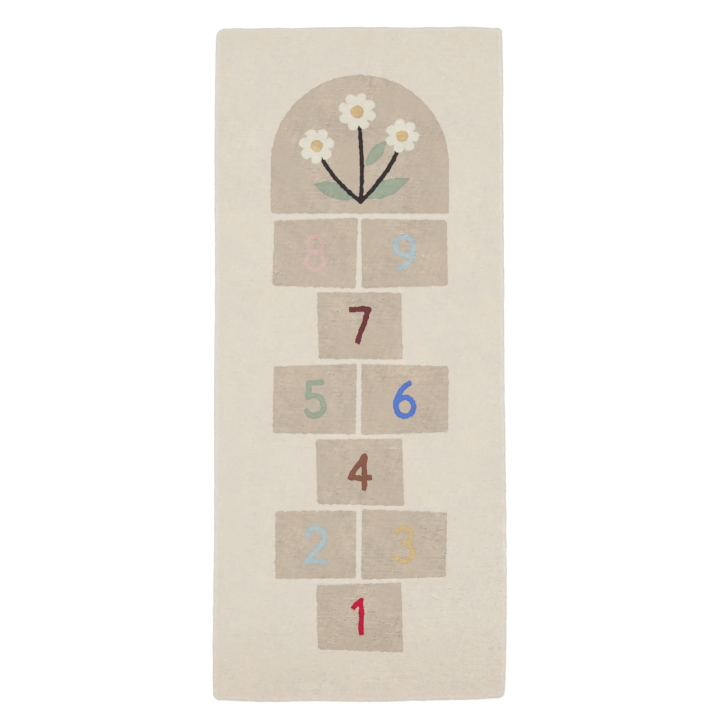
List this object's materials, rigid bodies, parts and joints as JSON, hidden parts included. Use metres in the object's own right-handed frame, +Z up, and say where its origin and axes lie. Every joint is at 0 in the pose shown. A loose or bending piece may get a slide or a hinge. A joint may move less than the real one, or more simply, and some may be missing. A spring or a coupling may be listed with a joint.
{
  "type": "hand-tufted kids rug",
  "caption": "Flat rectangular wool pile rug with rounded corners and a carved hopscotch court, to lie on the floor of a child's room.",
  "frame": {"origin": "middle of the flat underside", "axes": "+Z up out of the pile, +Y along the length towards the home space of the court, +X across the width, to the right seen from above"},
  "size_m": [0.6534, 1.5016, 0.012],
  "materials": {
    "wool_pile": "matt cut wool pile with a soft sheen"
  },
  "bodies": {
    "root": {"rug": "wool_pile"}
  },
  "joints": []
}
